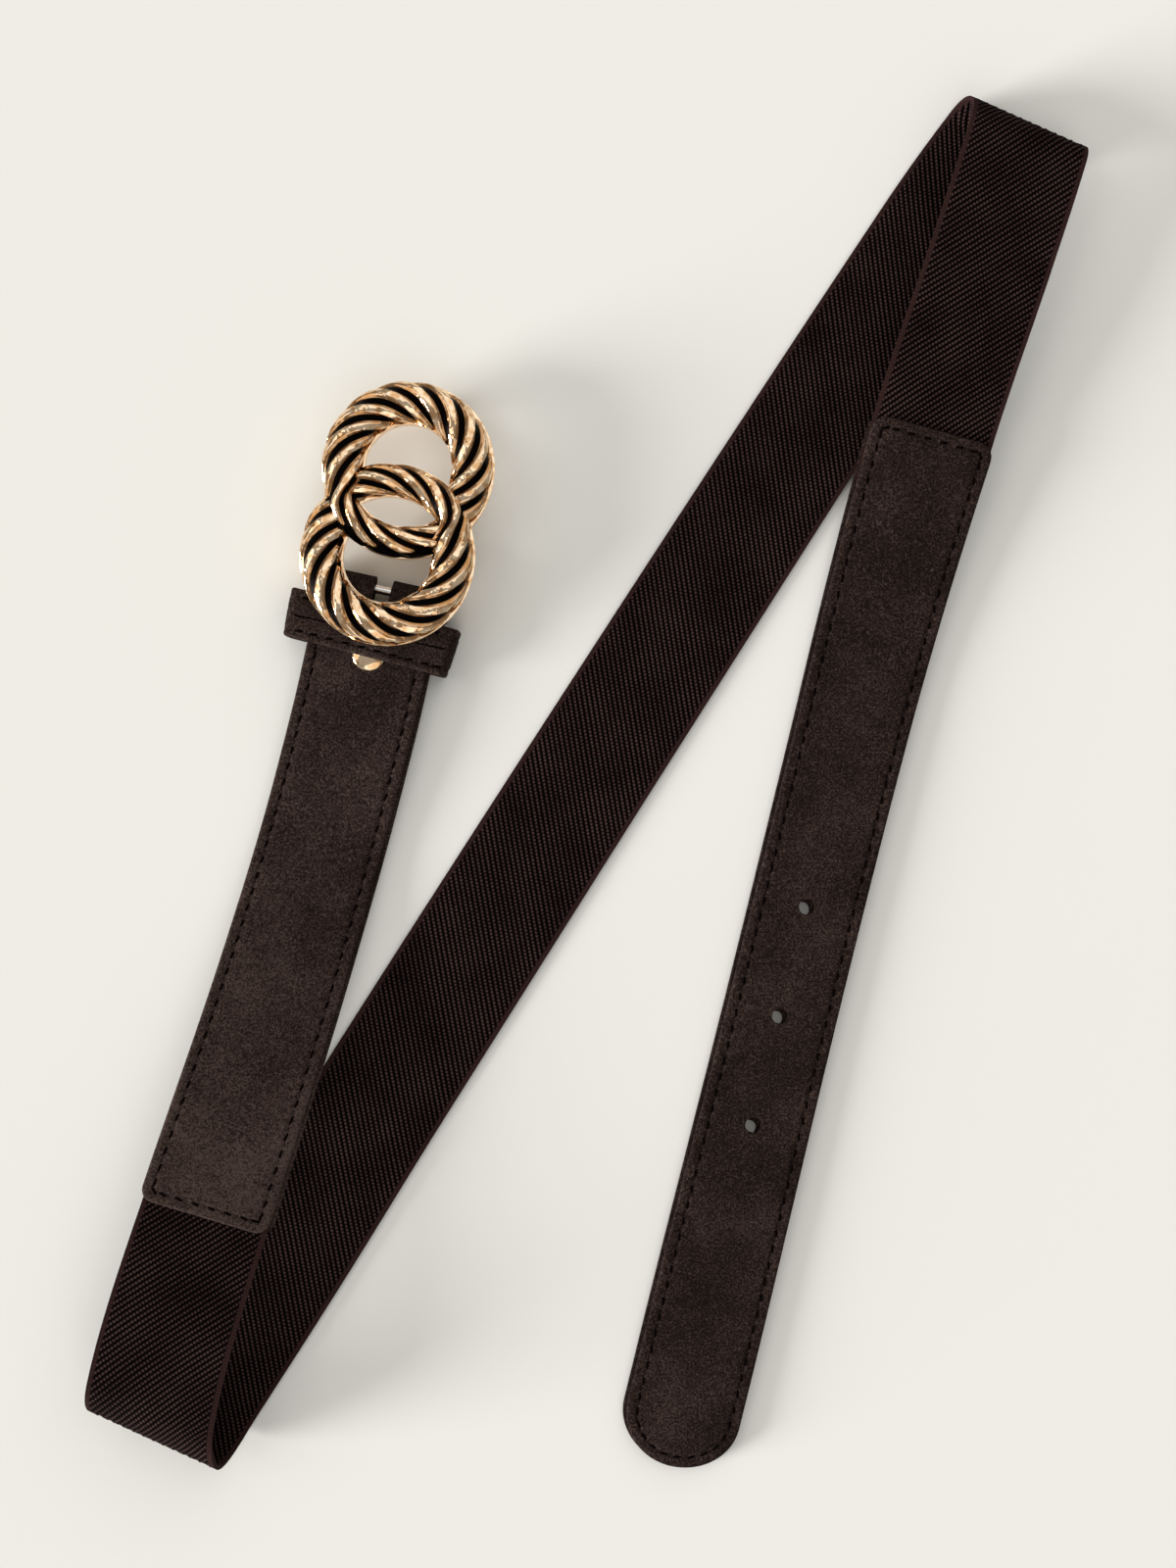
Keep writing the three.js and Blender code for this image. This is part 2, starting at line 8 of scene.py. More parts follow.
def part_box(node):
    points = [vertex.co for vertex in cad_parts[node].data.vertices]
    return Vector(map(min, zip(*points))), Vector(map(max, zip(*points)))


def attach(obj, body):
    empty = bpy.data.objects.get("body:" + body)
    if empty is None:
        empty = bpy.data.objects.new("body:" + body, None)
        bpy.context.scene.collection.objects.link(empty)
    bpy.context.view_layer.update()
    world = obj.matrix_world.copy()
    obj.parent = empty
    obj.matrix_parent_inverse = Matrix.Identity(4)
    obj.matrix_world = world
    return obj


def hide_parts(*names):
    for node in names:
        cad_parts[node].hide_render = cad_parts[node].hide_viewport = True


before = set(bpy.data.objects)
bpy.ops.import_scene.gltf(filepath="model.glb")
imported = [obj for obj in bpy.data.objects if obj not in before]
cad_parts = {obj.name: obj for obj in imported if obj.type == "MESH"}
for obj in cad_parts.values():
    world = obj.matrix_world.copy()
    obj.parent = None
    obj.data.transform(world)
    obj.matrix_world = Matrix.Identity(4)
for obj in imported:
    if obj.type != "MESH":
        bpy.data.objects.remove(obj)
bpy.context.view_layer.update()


# Elastic strap. One length of woven twill elastic with finer selvedges, its ends caught inside
# the two leather tabs. It lies in a flat zigzag: the middle run shows its reverse, and both
# ends are turned back over it in soft folds that stand a little off the floor.
strap_width = 0.034
elastic_width = 0.0334
elastic_thick = 0.0013
elastic_free = 0.5783  # between the tabs
elastic_tuck = 0.018  # hidden in each tab
tab_thick = 0.0035
buckle_tab_length = 0.1702
tip_tab_length = 0.2845
bar_height = 0.00445

heading = math.radians(32.9)  # of the middle run, from +Y
overhang_buckle = 0.0503
overhang_tip = 0.078
level_stretch = 0.022  # of the tab next to the crossbar
lift_stretch = 0.055  # over which the tab rises to it

elastic_end = buckle_tab_length + elastic_free
belt_length = elastic_end + tip_tab_length
first_bend = buckle_tab_length + overhang_buckle
second_bend_end = elastic_end - overhang_tip

# Sideways drift of the belt's middle, in strap widths at shares of its length
drift = [
    (0, -0.165), (0.035, -0.095), (0.102, -0.062), (0.161, -0.075), (0.195, -0.08),
    (0.216, -0.04), (0.231, 0.045), (0.25, 0.045), (0.29, 0.035), (0.34, 0.005),
    (0.48, -0.02), (0.6, -0.01), (0.629, 0.03), (0.639, 0.085), (0.649, 0.098),
    (0.678, 0.055), (0.724, -0.021), (0.8, -0.033), (1, 0.056),
]
# Widths as shares of the full width, at shares of each piece's length
elastic_widths = [(0, 1), (0.12, 1.03), (0.3, 1.045), (0.55, 1.01), (0.8, 0.965), (1, 0.97)]


def read(rows, share):
    """Follows a smooth curve through a table's rows, and runs straight on past both ends."""
    along, value = np.array(rows, float).T
    share = np.asarray(share, float)
    at = np.clip(share, 0, 1)
    i = np.clip(np.searchsorted(along, at) - 1, 0, len(along) - 2)
    before, after = np.maximum(np.arange(len(along)) - 1, 0), np.arange(len(along)) + 1
    after[-1] -= 1
    slope = (value[after] - value[before]) / (along[after] - along[before])
    span = along[i + 1] - along[i]
    u = (at - along[i]) / span
    rise = (value[i + 1] - value[i]) * u * u * (3 - 2 * u)
    ends = u * (1 - u) * span * ((1 - u) * slope[i] - u * slope[i + 1])
    past = share - at
    return value[i] + rise + ends + past * np.where(past < 0, slope[0], slope[-1])


def smooth(x):
    u = np.clip(x, 0, 1)
    return u * u * (3 - 2 * u)


def bend_length(fold):
    return math.pi * fold["radius"] / math.cos(heading - fold["angle"])


buckle_fold = {"angle": math.radians(24.65), "radius": 0.01, "landing": 0.16, "side": -1}
tip_fold = {"angle": math.radians(23.8), "radius": 0.0065, "landing": 0.15, "side": 1}
diagonal_start = first_bend + bend_length(buckle_fold)
diagonal_end = second_bend_end - bend_length(tip_fold)
run = np.array([math.sin(heading), math.cos(heading)])
across = np.array([run[1], -run[0]])


def middle(b):
    aside = strap_width * read(drift, b / belt_length)
    return np.outer(b - diagonal_start, run) + np.outer(aside, across)


for fold, place in ((buckle_fold, diagonal_start), (tip_fold, diagonal_end)):
    fold["line"] = np.array([math.cos(fold["angle"]), -math.sin(fold["angle"])])
    fold["out"] = np.array([-fold["line"][1], fold["line"][0]]) * fold["side"]
    fold["at"] = middle(np.array([place]))[0]


def leg_height(fold, back):
    """Height of the strap's middle on an upper leg, at a distance back from its fold."""
    rest = tab_thick / 2
    top = elastic_thick / 2 + 2 * fold["radius"]
    height = rest + (top - rest) * (1 - smooth(back / fold["landing"]))
    if fold is tip_fold:
        return height
    to_bar = first_bend - back
    return height + (bar_height - rest) * smooth(
        (level_stretch + lift_stretch - to_bar) / lift_stretch)


def lay_down(flat_points):
    """Carries points drawn flat, along the belt, across it and out of its face, onto its lay."""
    b, t, h = np.asarray(flat_points, float).T
    step = 0.0005
    slope = middle(b + step) - middle(b - step)
    slope /= np.linalg.norm(slope, axis=1)[:, None]
    flat = middle(b) + np.column_stack([slope[:, 1], -slope[:, 0]]) * t[:, None]
    laid = np.column_stack([flat, elastic_thick / 2 - h])
    for fold in (buckle_fold, tip_fold):
        radius = fold["radius"]
        start = flat - fold["at"]
        past = start @ fold["out"]
        turn = np.minimum(past, math.pi * radius) / radius
        back = past - math.pi * radius
        fall = (leg_height(fold, back + step) - leg_height(fold, back - step)) / (2 * step)
        on_leg = back > 0
        tilt = np.where(on_leg, math.pi - np.arctan(fall), turn)
        reach = np.where(on_leg, -back, radius * np.sin(turn))
        turned = elastic_thick / 2 + radius * (1 - np.cos(turn))
        height = np.where(on_leg, leg_height(fold, back), turned)
        spot = (fold["at"] + np.outer(start @ fold["line"], fold["line"])
                + np.outer(reach + h * np.sin(tilt), fold["out"]))
        bent = past > 0
        laid[bent] = np.column_stack([spot, height - h * np.cos(tilt)])[bent]
    laid[:, :2] += lay_shift
    laid[:, 2] = np.maximum(laid[:, 2], 0)
    return laid


lay_shift = np.zeros(2)
bar_low, bar_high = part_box("crossbar")
bar_centre = (bar_low + bar_high) / 2
lay_shift = np.array(bar_centre.xy) - lay_down([[0, 0, 0]])[0, :2]


def points_of(piece):
    found = np.empty(len(piece.data.vertices) * 3)
    piece.data.vertices.foreach_get("co", found)
    return found.reshape(-1, 3)


def move_points(piece, points):
    piece.data.vertices.foreach_set("co", np.asarray(points, float).ravel())
    piece.data.update()


def only(piece):
    """Makes one piece the only selected and active one."""
    if bpy.context.object and bpy.context.object.mode != "OBJECT":
        bpy.ops.object.mode_set(mode="OBJECT")
    bpy.ops.object.select_all(action="DESELECT")
    piece.select_set(True)
    bpy.context.view_layer.objects.active = piece


def keep_flat_map(piece, points):
    """Keeps each point's place on the flat strap as the piece's UV map, in metres."""
    layer = piece.data.uv_layers.new(name="flat")
    corner = np.empty(len(piece.data.loops), int)
    piece.data.loops.foreach_get("vertex_index", corner)
    layer.data.foreach_set("uv", points[corner][:, :2].ravel())


class Number:
    """A shader socket that carries a number and takes Python's arithmetic."""

    def __init__(self, finish, socket):
        self.finish, self.socket = finish, socket

    def maths(self, operation, *others):
        return self.finish.node("ShaderNodeMath", {"operation": operation},
                                {0: self, **{i + 1: o for i, o in enumerate(others)}})

    def __add__(self, other):
        return self.maths("ADD", other)

    def __sub__(self, other):
        return self.maths("SUBTRACT", other)

    def __rsub__(self, other):
        return self.maths("MULTIPLY", -1) + other

    def __mul__(self, other):
        return self.maths("MULTIPLY", other)

    def __truediv__(self, other):
        return self.maths("DIVIDE", other)

    def __pow__(self, other):
        return self.maths("POWER", other)

    def between(self, low, high):
        """0 below low, 1 above high and a smooth step between them."""
        return self.finish.node("ShaderNodeMapRange", {"interpolation_type": "SMOOTHSTEP"},
                                {"Value": self, "From Min": low, "From Max": high})

    __radd__ = __add__
    __rmul__ = __mul__


class Finish:
    """A material being made: its node tree and the Principled shader that the nodes feed."""

    def __init__(self, name, **sockets):
        self.material = bpy.data.materials.new(name)
        self.material.use_nodes = True
        self.tree = self.material.node_tree
        self.shader = self.tree.nodes["Principled BSDF"]
        for socket, value in sockets.items():
            self.shader.inputs[socket.replace("_", " ")].default_value = value

    def node(self, kind, settings=None, sockets=None, result=0):
        node = self.tree.nodes.new(kind)
        for name, value in (settings or {}).items():
            if name == "stops":
                ramp = node.color_ramp.elements
                while len(ramp) < len(value):
                    ramp.new(1)
                for stop, (position, colour) in zip(ramp, value):
                    stop.position, stop.color = position, (*colour, 1)
            else:
                setattr(node, name, value)
        for name, value in (sockets or {}).items():
            if isinstance(value, Number):
                self.tree.links.new(value.socket, node.inputs[name])
            else:
                node.inputs[name].default_value = value
        return Number(self, node.outputs[result])

    def feed(self, socket, value):
        self.tree.links.new(value.socket, self.shader.inputs[socket])

    def noise(self, place, scale, detail=2, roughness=0.5):
        return self.node("ShaderNodeTexNoise", {},
                         {"Vector": place, "Scale": scale, "Detail": detail,
                          "Roughness": roughness})

    def mix(self, share, first, second):
        return self.node("ShaderNodeMix", {"data_type": "RGBA"},
                         {0: share, 6: first, 7: second}, result=2)

    def emboss(self, height, depth):
        bump = self.node("ShaderNodeBump", {}, {"Height": height, "Distance": depth})
        self.feed("Normal", bump)


def wear(piece, finish, body, slot, *nodes):
    """Finishes a piece: its material, the body that carries it and the nodes that it replaces."""
    piece.data.materials.clear()
    piece.data.materials.append(finish.material)
    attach(piece, body)
    if nodes:
        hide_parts(*nodes)


rib_pitch = 0.0013
rib_slant = math.radians(42)
rib_depth = 0.00022
points_per_rib = 6
selvedge = 0.0012
rows_across = 18

half_width = elastic_width / 2
rib_step = rib_pitch / math.sin(rib_slant)
shear = 1 / math.tan(rib_slant)
weave_from = buckle_tab_length - elastic_tuck
weave_to = elastic_end + elastic_tuck
lead = half_width * shear
columns = math.ceil((weave_to - weave_from + 2 * lead) / rib_step * points_per_rib)

bpy.ops.object.select_all(action="DESELECT")
bpy.ops.mesh.primitive_grid_add(x_subdivisions=columns, y_subdivisions=rows_across, size=1)
elastic = bpy.context.object
elastic.name = "elastic_weave"
points = points_of(elastic)
row_edges = [-1, -0.96, selvedge / half_width - 1, 1.6 * selvedge / half_width - 1]
row_edges += [-edge for edge in reversed(row_edges)]
row_shares = [0, 1, 2, 3, rows_across - 3, rows_across - 2, rows_across - 1, rows_across]
t = half_width * np.interp((points[:, 1] + 0.5) * rows_across, row_shares, row_edges)
b = weave_from - lead + (points[:, 0] + 0.5) * columns * rib_step / points_per_rib - t * shear
move_points(elastic, np.column_stack([b, t, np.zeros(len(b))]))
bpy.ops.object.mode_set(mode="EDIT")
for end, normal in ((weave_from, -1), (weave_to, 1)):
    bpy.ops.mesh.select_all(action="SELECT")
    bpy.ops.mesh.bisect(plane_co=(end, 0, 0), plane_no=(normal, 0, 0), clear_outer=True)
bpy.ops.object.mode_set(mode="OBJECT")
solidify = elastic.modifiers.new("thickness", "SOLIDIFY")
solidify.thickness, solidify.offset = elastic_thick - rib_depth, 0
bpy.ops.object.modifier_apply(modifier="thickness")

points = points_of(elastic)
keep_flat_map(elastic, points)
b, t, h = points.T
rib = np.abs(np.sin(math.pi * (b + t * shear) / rib_step)) ** 0.8
inner = smooth((half_width - selvedge - np.abs(t)) / 0.0004)
h = h + np.sign(h) * (rib - 0.5) * rib_depth * inner
share = (b - buckle_tab_length) / elastic_free
move_points(elastic, lay_down(np.column_stack([b, t * read(elastic_widths, share), h])))
only(elastic)
bpy.ops.object.shade_smooth_by_angle(angle=math.radians(60))

twill = Finish("elastic twill", Roughness=0.9, Specular_IOR_Level=0.03)
flat = twill.node("ShaderNodeUVMap", {"uv_map": "flat"})
along_belt = twill.node("ShaderNodeSeparateXYZ", {}, {"Vector": flat}, result=0)
across_belt = twill.node("ShaderNodeSeparateXYZ", {}, {"Vector": flat}, result=1)
rib_place = (along_belt + across_belt * shear) / rib_step
rib_height = (rib_place * math.pi).maths("SINE").maths("ABSOLUTE")
thread_pitch = 0.00095
thread_place = along_belt * (math.cos(rib_slant) / thread_pitch) - across_belt * (
    math.sin(rib_slant) / thread_pitch) + rib_place.maths("FLOOR") * 0.5
thread_height = (thread_place * math.pi).maths("SINE").maths("ABSOLUTE") ** 0.7
edge = across_belt.maths("ABSOLUTE").between(half_width - selvedge - 0.0002,
                                             half_width - selvedge + 0.0001)
edge_thread = ((along_belt * (math.pi / 0.0009)).maths("SINE").maths("ABSOLUTE") * 0.5
               + (across_belt * (math.pi / 0.0006)).maths("SINE").maths("ABSOLUTE") * 0.5)
weave = rib_height ** 0.9 * (thread_height * 0.55 + 0.45)
relief = weave * (1 - edge) + (edge_thread * 0.4 + 0.35) * edge
place = twill.node("ShaderNodeTexCoord", result=3)
fuzz = twill.noise(place, 1900, 3, 0.6)
worn = twill.noise(place, 70, 3)
shade = relief * (fuzz * 0.7 + 0.65) * (worn * 0.5 + 0.75)
# The yarn's colour follows the weave's relief: near black in the rib valleys and paler on the
# crests. This is painted shade and painted highlight on the ribs. The selvedge's reddish ramp
# follows its threads' relief the same way.
yarn_with_painted_rib_shade = twill.node("ShaderNodeValToRGB", {"stops": [
    (0, (0.0004, 0.0001, 0.0001)), (0.38, (0.0015, 0.0004, 0.0004)),
    (0.68, (0.0088, 0.0037, 0.0034)), (1, (0.056, 0.034, 0.031))]}, {0: shade})
reddish = twill.node("ShaderNodeValToRGB", {"stops": [
    (0, (0.002, 0.0008, 0.0007)), (1, (0.04, 0.019, 0.017))]}, {0: shade})
twill.feed("Base Color", twill.mix(edge, yarn_with_painted_rib_shade, reddish))
twill.emboss(relief + fuzz * 0.35, 0.0002)
wear(elastic, twill, "belt", "elastic", "elastic_band")


# Buckle tab. A strip of suede leather folded round the crossbar into two leaves, stitched
# along its edges, with the elastic's end caught between them. A slot is cut through the fold
# where the crossbar shows, and the upper leaf is cut a little narrower on the right.
leaf_thick = 0.0017
wrap_radius = 0.0031
wrap_taper = 0.012
tab_corner = 0.0035
upper_inset = 0.0009
buckle_tab_widths = [(0, 0.985), (0.5, 1), (1, 1.045)]
stitch_inset = 0.0028
point_spacing = 0.0011
points_per_stitch = 4  # so a stitch is about 4.4 mm long
slot_length, slot_width, slot_mouth, slot_mouth_half = 0.0204, 0.0044, 0.0048, 0.003
thread_radius = 0.0004
thread_half = 0.00135


def spread_points(line, density=None):
    """Spreads points evenly round a closed line, closer together where density is above 1."""
    closed = np.vstack([line, line[:1]])
    step = np.linalg.norm(np.diff(closed, axis=0), axis=1)
    if density:
        step = step * density((closed[1:, 0] + closed[:-1, 0]) / 2)
    walked = np.concatenate([[0], np.cumsum(step)])
    count = points_per_stitch * round(walked[-1] / point_spacing / points_per_stitch)
    at = np.arange(count) / count * walked[-1]
    return np.column_stack([np.interp(at, walked, closed[:, k]) for k in (0, 1)])


def inward(outline, inset):
    """Moves a closed line inwards by an inset."""
    ahead = np.roll(outline, -1, 0) - np.roll(outline, 1, 0)
    ahead /= np.linalg.norm(ahead, axis=1)[:, None]
    return outline + np.column_stack([-ahead[:, 1], ahead[:, 0]]) * inset


def corner_loss(radius, inwards):
    u = np.clip(inwards / radius, 0, 1)
    return radius * (1 - np.sqrt(u * (2 - u)))


def new_piece(name, points, faces, edges=()):
    mesh = bpy.data.meshes.new(name)
    mesh.from_pydata([tuple(p) for p in points], edges, faces)
    piece = bpy.data.objects.new(name, mesh)
    bpy.context.scene.collection.objects.link(piece)
    return piece


def quilt(points, start, count, span, up):
    """Fills a loop of points with squares, span of them along each of its two ends. Returns the
    new points and the faces."""
    loop = points[start:start + count]
    end = np.argmin(loop[:, 0] + 0.001 * np.abs(loop[:, 1]))
    order = (np.arange(count + 1) + end - span // 2) % count
    length = count // 2 - span
    first, second = order[:span + 1], order[span:span + length + 1]
    third = order[span + length:2 * span + length + 1][::-1]
    fourth = order[2 * span + length:][::-1]
    u = np.linspace(0, 1, span + 1)[None, 1:-1, None]
    v = np.linspace(0, 1, length + 1)[1:-1, None, None]
    rows = loop[first][None, 1:-1] * (1 - v) + loop[third][None, 1:-1] * v
    ends = loop[fourth][1:-1, None] * (1 - u) + loop[second][1:-1, None] * u
    corners = ((loop[first[0]] * (1 - u) + loop[first[-1]] * u) * (1 - v)
               + (loop[third[0]] * (1 - u) + loop[third[-1]] * u) * v)
    grid = np.zeros((length + 1, span + 1), int)
    grid[0], grid[-1] = first + start, third + start
    grid[:, 0], grid[:, -1] = fourth + start, second + start
    grid[1:-1, 1:-1] = len(points) + np.arange((length - 1) * (span - 1)).reshape(length - 1, -1)
    faces = np.stack([grid[:-1, :-1], grid[:-1, 1:], grid[1:, 1:], grid[1:, :-1]], -1)
    faces = faces.reshape(-1, 4)
    return (rows + ends - corners).reshape(-1, 3), (faces if up else faces[:, ::-1]).tolist()


def cut_leaf(name, outline, thick, inset, span):
    """Cuts a leaf of leather to an outline, with a rounded edge and a stitch line pressed in.
    The leaf lies flat with its inner face on z = 0. It keeps two marks for its finish: border
    outside the stitches, and rim along the rounded edge, where the finish paints a highlight."""
    # The rim column marks where the finish paints a highlight along the rounded edge.
    rings = [  # inset, height, border, rim
        (0.00022, 0, 0, 0), (0.00004, 0.0002, 0, 0), (0, 0.0006, 0, 0),
        (0.00003, thick - 0.0006, 0.2, 0), (0.00014, thick - 0.0003, 0.6, 0.5),
        (0.00036, thick - 0.0001, 1, 1), (0.0007, thick, 1, 0.3), (0.0014, thick, 1, 0),
        (inset - 0.0007, thick, 1, 0), (inset - 0.0003, thick - 0.00006, 0.7, 0),
        (inset, thick - 0.00014, 0, 0), (inset + 0.0003, thick - 0.00005, 0, 0),
        (inset + 0.0009, thick + 0.00012, 0, 0),
    ]
    count = len(outline)
    points = np.vstack([np.column_stack([inward(outline, ring[0]), np.full(count, ring[1])])
                        for ring in rings])
    groove = (len(rings) - 3) * count
    for ring, dent in ((groove - count, 0.00008), (groove, 0.0003), (groove + count, 0.00015)):
        points[ring:ring + count:points_per_stitch, 2] -= dent
    faces = []
    for k in range(len(rings) - 1):
        low, j = k * count, np.arange(count)
        nxt = (j + 1) % count
        faces += np.column_stack([low + j, low + nxt, low + count + nxt, low + count + j]).tolist()
    marks = np.repeat([ring[2:] for ring in rings], count, axis=0)
    for start, up in ((len(points) - count, True), (0, False)):
        more, squares = quilt(points, start, count, span, up)
        points = np.vstack([points, more])
        faces += squares
    marks = np.vstack([marks, np.zeros((len(points) - len(marks), 2))])
    leaf = new_piece(name, points, faces)
    for column, mark in enumerate(("border", "rim")):
        layer = leaf.data.attributes.new(mark, "FLOAT", "POINT")
        layer.data.foreach_set("value", marks[:, column].astype(np.float32))
    return leaf


def cut_out(piece, cutter):
    """Cuts a cutter's shape out of a piece and removes the cutter."""
    only(piece)
    cut = piece.modifiers.new("cut", "BOOLEAN")
    cut.operation, cut.object, cut.solver = "DIFFERENCE", cutter, "EXACT"
    bpy.ops.object.modifier_apply(modifier="cut")
    bpy.data.objects.remove(cutter)


def thread_stitches(name, outline, inset, height, skip=None):
    """Lays one slanted thread stitch between each two holes of a leaf's stitch line."""
    line = inward(outline, inset)
    stations = [-1, -0.86, -0.5, 0, 0.5, 0.86, 1]
    girths = [0.3, 0.8, 1, 1, 1, 0.8, 0.3]
    sides = 8
    turn = np.arange(sides) / sides * 2 * math.pi
    shape = np.array([(x, g * math.cos(a), g * math.sin(a) - 1.1 * x ** 4)
                      for x, g in zip(stations, girths) for a in turn])
    last = (len(stations) - 1) * sides
    faces = [[k * sides + j, (k + 1) * sides + j, (k + 1) * sides + (j + 1) % sides,
              k * sides + (j + 1) % sides] for k in range(len(stations) - 1) for j in range(sides)]
    faces += [list(range(sides)), [last + j for j in range(sides)][::-1]]
    all_points, all_faces = [], []
    for k in range(0, len(line), points_per_stitch):
        start, end = line[k], line[(k + points_per_stitch) % len(line)]
        centre, ahead = (start + end) / 2, (end - start) / 2
        if skip and skip(centre):
            continue
        ahead /= np.linalg.norm(ahead)
        aside = np.array([-ahead[1], ahead[0]])
        flat = (centre + np.outer(shape[:, 0] * thread_half, ahead)
                + np.outer(shape[:, 1] * thread_radius + shape[:, 0] * 0.0002, aside))
        base = len(all_points) * len(shape)
        all_points.append(np.column_stack([flat, height + shape[:, 2] * thread_radius]))
        all_faces += [[base + v for v in face] for face in faces]
    return new_piece(name, np.vstack(all_points), all_faces)


fold_lean = math.asin((wrap_radius - tab_thick / 2) / wrap_taper)
fold_arc = wrap_radius * (math.pi / 2 + fold_lean)
fold_slope = wrap_taper * math.cos(fold_lean)
level_from = wrap_radius * math.sin(fold_lean) + fold_slope * math.cos(fold_lean)
half_strip = fold_arc + fold_slope + buckle_tab_length - level_from


def fold_round_bar(points):
    """Folds a strip drawn flat round the crossbar: its middle goes round the bar, and its ends
    run out along the belt as the upper leaf, from negative lengths, and the lower leaf."""
    s, t, h = points.T
    far = np.abs(s)
    turn = np.minimum(far, fold_arc) / wrap_radius
    down = np.clip(far - fold_arc, 0, fold_slope)
    level = np.maximum(far - fold_arc - fold_slope, 0)
    out_b, out_h = -np.cos(turn), np.sin(turn)
    out_b, out_h = np.where(level > 0, 0, out_b), np.where(level > 0, 1, out_h)
    path_b = -wrap_radius * np.cos(turn) + down * math.cos(fold_lean) + level
    path_h = wrap_radius * np.sin(turn) - down * math.sin(fold_lean)
    path_h = np.where(level > 0, tab_thick / 2, path_h)
    deep = leaf_thick - h
    side = np.where(s < 0, 1.0, -1.0)
    return np.column_stack([path_b - out_b * deep, t, side * (path_h - out_h * deep)])


def make_room(points, mouth):
    """Thins a leaf's inner face where the elastic's end lies against it."""
    over = smooth((elastic_tuck + 0.001 - np.abs(points[:, 0] - mouth)) / 0.002)
    room = over * (elastic_thick / 2 + 0.00003)
    share = np.clip(1 - points[:, 2] / (leaf_thick * 0.6), 0, 1)
    points[:, 2] += room * share
    return points


def strip_side(s, side):
    share = (np.abs(s) - half_strip + buckle_tab_length) / buckle_tab_length
    wide = strap_width * read(buckle_tab_widths, share) / 2
    narrow = upper_inset * smooth((-s - fold_arc) / 0.01) if side > 0 else 0
    return side * (wide - narrow - corner_loss(tab_corner, half_strip - np.abs(s)))


corner_shares = np.array([0, 0.02, 0.06, 0.12, 0.2, 0.32, 0.45, 0.6, 0.78])
ends = half_strip - corner_shares * tab_corner
middle_stations = np.linspace(-half_strip + tab_corner, half_strip - tab_corner, 200)
stations = np.concatenate([-ends, middle_stations, ends[::-1]])
lower_line = np.column_stack([stations, strip_side(stations, -1)])
upper_line = np.column_stack([stations, strip_side(stations, 1)])[::-1]
strip_outline = spread_points(np.vstack([lower_line, upper_line]),
                              lambda s: np.where(np.abs(s) < 0.013, 2.0, 1.0))
strip = cut_leaf("buckle_tab_leather", strip_outline, leaf_thick, stitch_inset, 34)

slot_ends = slot_length / 2 - slot_width / 2
slot = [(slot_ends + slot_width / 2 * math.cos(a), slot_width / 2 * math.sin(a))
        for a in np.linspace(-math.pi / 2, math.pi / 2, 13)]
slot += [(slot_mouth_half, slot_mouth / 2), (-slot_mouth_half, slot_mouth / 2)]
slot += [(-x, -y) for x, y in slot]
punch = new_piece("punch", [(x, y, z) for z in (-0.001, 0.003) for x, y in slot],
                  [list(range(len(slot)))[::-1], [len(slot) + k for k in range(len(slot))]]
                  + [[k, (k + 1) % len(slot), len(slot) + (k + 1) % len(slot), len(slot) + k]
                     for k in range(len(slot))])
cut_out(strip, punch)

points = points_of(strip)
keep_flat_map(strip, points)
mouth = np.where(points[:, 0] < 0, -half_strip, half_strip)
move_points(strip, lay_down(fold_round_bar(make_room(points, mouth))))
only(strip)
bpy.ops.object.shade_smooth_by_angle(angle=math.radians(50))

suede = Finish("suede", Roughness=0.97, Specular_IOR_Level=0.08)
place = suede.node("ShaderNodeTexCoord", result=3)
nap = suede.noise(place, 1900, 2, 0.65)
brushed = suede.noise(place, 700, 3, 0.6)
cloud = suede.noise(place, 45, 3, 0.6)
border = suede.node("ShaderNodeAttribute", {"attribute_name": "border"}, result=2)
rim = suede.node("ShaderNodeAttribute", {"attribute_name": "rim"}, result=2)
along_belt = suede.node("ShaderNodeSeparateXYZ", {}, {
    "Vector": suede.node("ShaderNodeUVMap", {"uv_map": "flat"})}, result=0)
darker = along_belt.between(0.4, 0.6)
grain = (nap - 0.5) * 1.9 + (brushed - 0.5) * 0.5 + (cloud - 0.5) * 0.7
# The buckle tab is painted paler away from the crossbar. This painted light lifts the shade that
# falls on its raised, sloping leg. On the tip tab the darker mask takes this lift back and darkens
# the tab a little more.
painted_light_off_bar = along_belt.maths("ABSOLUTE").between(0.07, 0.16)
# The rim mark adds a painted highlight along each leaf's rounded edge.
shade = grain + 0.42 + border * 0.03 + rim * 0.05 + painted_light_off_bar * 0.2 - darker * 0.28
suede.feed("Base Color", suede.node("ShaderNodeValToRGB", {"stops": [
    (0.1, (0.006, 0.0031, 0.0024)), (0.45, (0.0235, 0.0136, 0.0108)),
    (0.85, (0.07, 0.047, 0.039))]}, {0: shade}))
suede.emboss(nap * 0.8 + brushed * 0.5, 0.0004)
wear(strip, suede, "belt", "suede", "buckle_tab")

thread = thread_stitches("buckle_tab_stitches", strip_outline, stitch_inset, leaf_thick - 0.0002,
                         lambda at: abs(at[0]) < fold_arc + fold_slope)
move_points(thread, lay_down(fold_round_bar(points_of(thread))))
only(thread)
bpy.ops.object.shade_smooth()
waxed = Finish("waxed thread", Base_Color=(0.0016, 0.0007, 0.0006, 1), Roughness=0.8,
               Specular_IOR_Level=0.02)
wear(thread, waxed, "belt", "suede")


